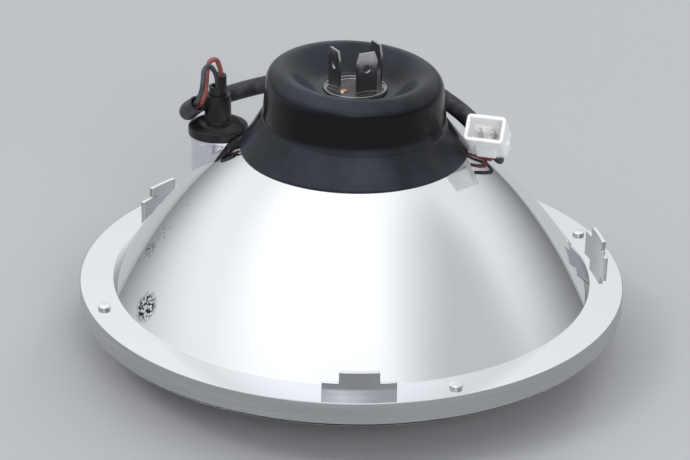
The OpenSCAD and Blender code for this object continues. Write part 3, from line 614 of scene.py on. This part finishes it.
# Bulb seat
# A plated steel ring lies on the neck's floor under two screws, and a wire
# clip, hinged in its ears and caught in its hook, presses the bulb on it.
plated = plain_material("plated_steel", (0.66, 0.66, 0.67), 0.24, 1.0)
roughened(plated, noise(plated, 180, 5), 0.16, 0.36)
bumped(plated, noise(plated, 900, 3), 0.004)
for node in ("seat_ring", "ring_screws", "prefocus_flange"):
    finished(softened(node, 0.15), f"{node}_pressing", plated, [node])
spring_wire = plain_material("spring_wire", (0.52, 0.52, 0.54), 0.22, 1.0)
roughened(spring_wire, noise(spring_wire, 400, 4), 0.16, 0.34)
dressed("bulb_clip", spring_wire)

# Main bulb
# A drawn steel shell carries the glass and a dark insulator, through which
# three stamped blades stand: two filaments and their common return.
shell_r, shell_t, shell_h, shell_edge_t = 11.1, 0.9, 14, 0.35
shell_edge_r, shell_inner_r = shell_r - shell_edge_t, shell_r - shell_t
glass_r, glass_t, glass_reach = 8.6, 1, 47
shell = rounded([
    (glass_r, seat_z - 9, 0.2), (glass_r + shell_t, seat_z - 9, 0.2), (glass_r + shell_t, seat_z - 3, 0.4),
    (shell_r, seat_z - 1.5, 0.4), (shell_r, seat_z + shell_h, 0.12),
    (shell_edge_r, seat_z + shell_h, 0.12), (shell_edge_r, seat_z + shell_h - 1.1, 0.1),
    (shell_inner_r, seat_z + shell_h - 1.1, 0.1), (shell_inner_r, seat_z - 1, 0.3),
    (glass_r, seat_z - 2.4, 0.3),
])
finished(spun(shell, steps=96), "bulb_shell_drawing", plated, ["bulb_shell"])

stamped = plain_material("stamped_blade", (0.5, 0.495, 0.49), 0.2, 1.0)
streaks = noise(stamped, 60, 5, stretch=(6, 6, 1))
coloured(stamped, streaks, (0.46, 0.455, 0.45), (0.56, 0.555, 0.55))
roughened(stamped, noise(stamped, 90, 5, stretch=(8, 8, 1)), 0.15, 0.24)
bumped(stamped, streaks, 0.003)
# A blade's corners are cut slim, so that a plug slides on
blade_turn, corner_out, corner_down = 28, 0.8, 1.1
for node, angle in (
    ("blade_ground", blade_turn + 180), ("blade_low", blade_turn - 90), ("blade_high", blade_turn),
):
    blade = softened(node, 0.09)
    blade_top = max(corner.co.z for corner in blade.verts)
    across = Vector((-math.sin(math.radians(angle)), math.cos(math.radians(angle)), 0))
    for corner in blade.verts:
        depth, side = (blade_top - corner.co.z) / mm, corner.co.dot(across) / mm
        if depth < 0.3 and abs(side) > 1.7:
            corner.co += across * math.copysign(corner_out, side) * mm
        elif 1.5 < depth < 2.3 and abs(side) > 3.5:
            corner.co.z -= corner_down * mm
    finished(blade, f"{node}_stamping", stamped, [node])

insulator = plain_material("insulator", (0.05, 0.045, 0.042), 0.4)
coloured(insulator, noise(insulator, 500, 4), (0.035, 0.032, 0.03), (0.09, 0.08, 0.074), start=0.35)
bumped(insulator, noise(insulator, 1200), 0.02)
finished(
    softened("bulb_insulator", 0.1), "bulb_insulator_moulding", insulator, ["bulb_insulator"]
)

# A dab of solder beside the common blade, and the bead of cement next to it
solder = plain_material("solder", (0.55, 0.33, 0.13), 0.28, 1.0)
roughened(solder, noise(solder, 900, 3), 0.18, 0.42)
cement = plain_material("cement", (0.8, 0.79, 0.76), 0.6)
bumped(cement, noise(cement, 1500, 3), 0.08)
insulator_z = seat_z + shell_h - 1
for name, material, place, size in (
    ("solder_dab", solder, (-3.9, -2.4), (1.6, 1, 0.8)),
    ("cement_bead", cement, (-4.9, -3.9), (1, 0.7, 0.8)),
):
    dab = bmesh.new()
    bmesh.ops.create_uvsphere(dab, u_segments=24, v_segments=14, radius=mm)
    bmesh.ops.scale(dab, vec=size, verts=dab.verts)
    bmesh.ops.translate(dab, verts=dab.verts, vec=Vector((*place, insulator_z)) * mm)
    finished(dab, name, material)

glass = plain_material("bulb_glass", (1, 1, 1), 0.01, 0.0, Transmission_Weight=1.0, IOR=1.46)
roughened(glass, noise(glass, 200, 2), 0.004, 0.02)


def bulb_dome(radius, tip_z, steps):
    """Points of a bulb's round tip, from the axis out to its side."""
    turns = [math.pi / 2 * i / steps for i in range(steps + 1)]
    return [Vector((radius * math.sin(t), tip_z - radius * math.cos(t))) for t in turns]


glass_tip_z = seat_z - glass_reach + glass_r
glass_outline = (
    bulb_dome(glass_r, glass_tip_z, 16)
    + [Vector((glass_r, seat_z - 3)), Vector((glass_r - glass_t, seat_z - 3))]
    + bulb_dome(glass_r - glass_t, glass_tip_z, 16)[::-1]
)
finished(spun(glass_outline, steps=64, closed=False), "bulb_envelope", glass, ["bulb_glass"])

tungsten = plain_material("tungsten", (0.3, 0.3, 0.31), 0.35, 1.0)
roughened(tungsten, noise(tungsten, 900, 3), 0.25, 0.5)
dressed("filament_leads", tungsten)
finished(softened("dip_shield", 0.05), "dip_shield_pressing", tungsten, ["dip_shield"])
for node, turns in (("filament_low", 12), ("filament_high", 9)):
    low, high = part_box(node)
    middle, coil_r = (low + high) / 2, (high.x - low.x) / 2 - 0.2 * mm
    coil = cord_curve(f"{node}_coil", [
        (
            (middle.x + coil_r * math.cos(math.radians(45 * i))) / mm,
            (middle.y + coil_r * math.sin(math.radians(45 * i))) / mm,
            (low.z + 0.2 * mm + (high.z - low.z - 0.4 * mm) * i / (8 * turns)) / mm,
        )
        for i in range(8 * turns + 1)
    ], 0.3)
    coil.data.bevel_resolution = 1
    coil.data.resolution_u = 2
    coil.data.materials.append(tungsten)
    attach(coil, "root")
    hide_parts(node)

# Dust boot
# A soft rubber moulding pushed over the neck: a flared skirt on the bowl, a
# straight body with a rolled top, and a dish that grips the bulb's shell.
lip_r, lip_t, foot_w = 40.2, 1, 2.6
boot_step_z, boot_body_r = seat_z + 2.2, 32.2
boot_top_z, boot_top_r, roll_r, boot_t = seat_z + 20.1, 31.2, 5.4, 2.2
collar_z, collar_w = seat_z + shell_h - 0.8, 1.7
roll_centre = Vector((boot_top_r - roll_r, boot_top_z - roll_r))


def arc(centre, radius, first, last, steps):
    turns = [math.radians(first + (last - first) * i / steps) for i in range(steps + 1)]
    return [centre + radius * Vector((math.cos(t), math.sin(t))) for t in turns]


# The dish sinks from the roll's crest to the bulb's shell, steepest half-way
crest_r, dish_foot_r, dish_steps = roll_centre.x, shell_r + collar_w, 20
dish = []
for i in range(1, dish_steps + 1):
    sunk = (1 - math.cos(math.pi * i / dish_steps)) / 2
    dish.append(Vector((
        crest_r + (dish_foot_r - crest_r) * i / dish_steps, boot_top_z + (collar_z - boot_top_z) * sunk
    )))
foot_r = lip_r - foot_w
boot_outline = (
    rounded([
        (foot_r, bowl_z(foot_r), 0), (lip_r, bowl_z(lip_r), 0.2), (lip_r + 0.2, bowl_z(lip_r) + lip_t, 0.3),
        (boot_body_r + 0.7, boot_step_z, 0.3), (boot_body_r + 0.1, boot_step_z + 0.2, 0.1),
        (boot_body_r, boot_step_z + 3, 0),
    ])
    + arc(roll_centre, roll_r, 0, 90, 18)
    + dish
    + rounded([
        (dish_foot_r, collar_z, 0), (shell_r, collar_z, 0.6), (shell_r, collar_z - 6, 0),
        (dish_foot_r, collar_z - 6, 0.3), (dish_foot_r, collar_z - 1, 0),
    ])[1:-1]
    + [place - Vector((0, boot_t)) for place in reversed(dish[:-2])]
    + arc(roll_centre, roll_r - boot_t, 90, 0, 12)
    + rounded([
        (boot_body_r - boot_t, seat_z + 6.6, 0), (neck_r, seat_z + 5.2, 0), (neck_r, floor_z, 0),
        (neck_r + 2.2, floor_z - 1, 0),
    ])
)
rubber = plain_material("boot_rubber", (0.005, 0.0055, 0.007), 0.28, Specular_IOR_Level=0.2)
# Off the upright body the rubber is painted a lighter blue-grey in patches, a painted sheen on the top,
# dish and skirt; the body keeps the near-black colour
sheen_patches = noise(rubber, 45, 5, stretch=(1, 1, 0.4))
boot_radius, boot_height = axis_distance(rubber)
below_roll = ranged(rubber, boot_height, boot_top_z - 2, boot_top_z - 6)
above_step = ranged(rubber, boot_height, boot_step_z, boot_step_z + 1.5)
on_body = math_of(rubber, "MULTIPLY", below_roll, above_step)
on_body = math_of(rubber, "MULTIPLY", on_body, ranged(rubber, boot_radius, 30, 31))
off_body = math_of(rubber, "SUBTRACT", 1, on_body)
painted_sheen = math_of(rubber, "MULTIPLY", ranged(rubber, sheen_patches, 0.35, 0.7, 0.25, 1), off_body)
into(rubber, mixed(rubber, painted_sheen, (0.0025, 0.0027, 0.0035), (0.03, 0.034, 0.046)), "Base Color")
roughened(rubber, noise(rubber, 90, 6), 0.13, 0.27)
bumped(rubber, noise(rubber, 34, 2), 0.35)
bumped(rubber, noise(rubber, 2600, 3), 0.004)
boot = spun(boot_outline, steps=160)
# Pushed on by hand, it leans towards the front and the right
lean_x, lean_y = math.tan(math.radians(-2.6)), math.tan(math.radians(2.7))
lip_z = bowl_z(lip_r)
for corner in boot.verts:
    reach = min(max((corner.co.z / mm - lip_z) / (boot_step_z - lip_z), 0), 1)
    if corner.co.xy.length > (shell_r + 0.1) * mm:
        corner.co.z += reach * (lean_x * corner.co.x + lean_y * corner.co.y)
finished(boot, "boot_moulding", rubber, ["dust_boot"])

# Pilot lamp
# A wedge bulb in a black plastic holder, pushed through a rubber grommet
# whose cap closes the pilot tube.
grommet_neck_r, grommet_neck_h, holder_r, plug_depth = 4.8, 10.2, 3.25, 7
bore_r = pilot_r - pilot_t
neck_foot = cap_h + cap_rise
grommet = spun(rounded([
    (holder_r, -plug_depth, 0), (bore_r, -plug_depth, 0.9), (bore_r, 0, 0), (cap_r, 0, 0.35),
    (cap_r, cap_h - 0.2, 0.9), (7.8, neck_foot - 0.2, 3), (grommet_neck_r + 0.1, neck_foot + 0.1, 0.6),
    (grommet_neck_r, neck_foot + grommet_neck_h, 0.35),
    (holder_r, neck_foot + grommet_neck_h, 0.25),
]), steps=80)
bmesh.ops.translate(grommet, verts=grommet.verts, vec=Vector((pilot_x, pilot_y, pilot_top_z)) * mm)
grommet_rubber = plain_material("grommet_rubber", (0.008, 0.008, 0.009), 0.4, Specular_IOR_Level=0.3)
worn = ranged(grommet_rubber, noise(grommet_rubber, 160, 4), 0.4, 0.75)
into(grommet_rubber, mixed(grommet_rubber, worn, (0.006, 0.006, 0.007), (0.02, 0.02, 0.022)), "Base Color")
roughened(grommet_rubber, noise(grommet_rubber, 300, 4), 0.26, 0.46)
bumped(grommet_rubber, noise(grommet_rubber, 1800, 3), 0.01)
finished(grommet, "grommet_moulding", grommet_rubber, ["pilot_grommet"])

holder_black = plain_material("holder_plastic", (0.014, 0.014, 0.016), 0.45)
roughened(holder_black, noise(holder_black, 700, 4), 0.36, 0.55)
bumped(holder_black, noise(holder_black, 1800, 3), 0.02)
finished(softened("pilot_holder", 0.15), "holder_moulding", holder_black, ["pilot_holder"])
brass = plain_material("contact_brass", (0.7, 0.52, 0.25), 0.28, 1.0)
roughened(brass, noise(brass, 600, 4), 0.2, 0.4)
finished(softened("pilot_contacts", 0.05), "contact_strips", brass, ["pilot_contacts"])
dressed("pilot_bulb", glass)
dressed("pilot_filament", tungsten)

# Floor and light
# A plain pale floor in a plain soft studio: bright overhead, dimmer walls, and
# a greyer side at the front right. What the camera sees past the floor is white.
floor_form = bmesh.new()
bmesh.ops.create_grid(floor_form, x_segments=1, y_segments=1, size=30)
floor_mesh = bpy.data.meshes.new("floor")
floor_form.to_mesh(floor_mesh)
floor_form.free()
floor = bpy.data.objects.new("floor", floor_mesh)
bpy.context.collection.objects.link(floor)
floor_mesh.materials.append(plain_material("floor_paint", (0.42, 0.425, 0.44), 0.8))

for name, place, target, size, power in (
    ("key", (-0.9, -0.5, 1.3), (0, 0, 0.06), 0.5, 5),
    ("back", (0.7, 1.3, 0.9), (0, 0, 0.08), 0.6, 5),
    ("front", (0.4, -1.3, 0.7), (0, 0, 0.06), 0.6, 8),
):
    lamp = bpy.data.lights.new(name, "AREA")
    lamp.shape = "DISK"
    lamp.size = size
    lamp.energy = power
    lamp_holder = bpy.data.objects.new(name, lamp)
    lamp_holder.location = place
    lamp_holder.rotation_mode = "QUATERNION"
    lamp_holder.rotation_quaternion = (Vector(target) - Vector(place)).to_track_quat("-Z", "Y")
    lamp_holder.visible_glossy = False
    bpy.context.collection.objects.link(lamp_holder)

world = bpy.data.worlds.new("studio")
world.use_nodes = True
bpy.context.scene.world = world
nodes, links = world.node_tree.nodes, world.node_tree.links
way = nodes.new("ShaderNodeTexCoord")


def lobe(azimuth, elevation, full, none, amount):
    """Light added round one direction: all of it within full degrees, none beyond none."""
    turn, rise = math.radians(azimuth), math.radians(elevation)
    dot = nodes.new("ShaderNodeVectorMath")
    dot.operation = "DOT_PRODUCT"
    dot.inputs[1].default_value = (
        math.cos(turn) * math.cos(rise), math.sin(turn) * math.cos(rise), math.sin(rise)
    )
    links.new(way.outputs["Generated"], dot.inputs[0])
    fade = nodes.new("ShaderNodeMapRange")
    fade.interpolation_type = "SMOOTHSTEP"
    links.new(dot.outputs["Value"], fade.inputs["Value"])
    fade.inputs["From Min"].default_value = math.cos(math.radians(none))
    fade.inputs["From Max"].default_value = math.cos(math.radians(full))
    fade.inputs["To Max"].default_value = amount
    return fade.outputs["Result"]


light = None
for shape in (
    (0, 90, 56, 96, 0.6), (-110, 72, 10, 52, 0.32), (180, 35, 20, 60, 0.12), (-95, 50, 12, 45, 0.06),
    (-26, 42, 6, 36, -0.26), (60, 6, 10, 45, -0.08), (-92, 18, 0, 16, 1.3), (90, 26, 8, 34, 0.12),
):
    part = lobe(*shape)
    if light is None:
        light = part
        continue
    total = nodes.new("ShaderNodeMath")
    links.new(light, total.inputs[0])
    links.new(part, total.inputs[1])
    light = total.outputs["Value"]
wall_light = nodes.new("ShaderNodeMath")
wall_light.inputs[1].default_value = 0.24
links.new(light, wall_light.inputs[0])
studio = nodes["Background"]
studio.inputs["Color"].default_value = (0.95, 0.975, 1, 1)
links.new(wall_light.outputs["Value"], studio.inputs["Strength"])
white = nodes.new("ShaderNodeBackground")
white.inputs["Color"].default_value = (1, 1, 1, 1)
rays = nodes.new("ShaderNodeLightPath")
unlit = nodes.new("ShaderNodeMath")
unlit.operation = "MAXIMUM"
links.new(rays.outputs["Is Camera Ray"], unlit.inputs[0])
links.new(rays.outputs["Is Transmission Ray"], unlit.inputs[1])
choice = nodes.new("ShaderNodeMixShader")
links.new(unlit.outputs["Value"], choice.inputs["Fac"])
links.new(studio.outputs["Background"], choice.inputs[1])
links.new(white.outputs["Background"], choice.inputs[2])
links.new(choice.outputs["Shader"], nodes["World Output"].inputs["Surface"])

bpy.context.scene.view_settings.view_transform = "Standard"
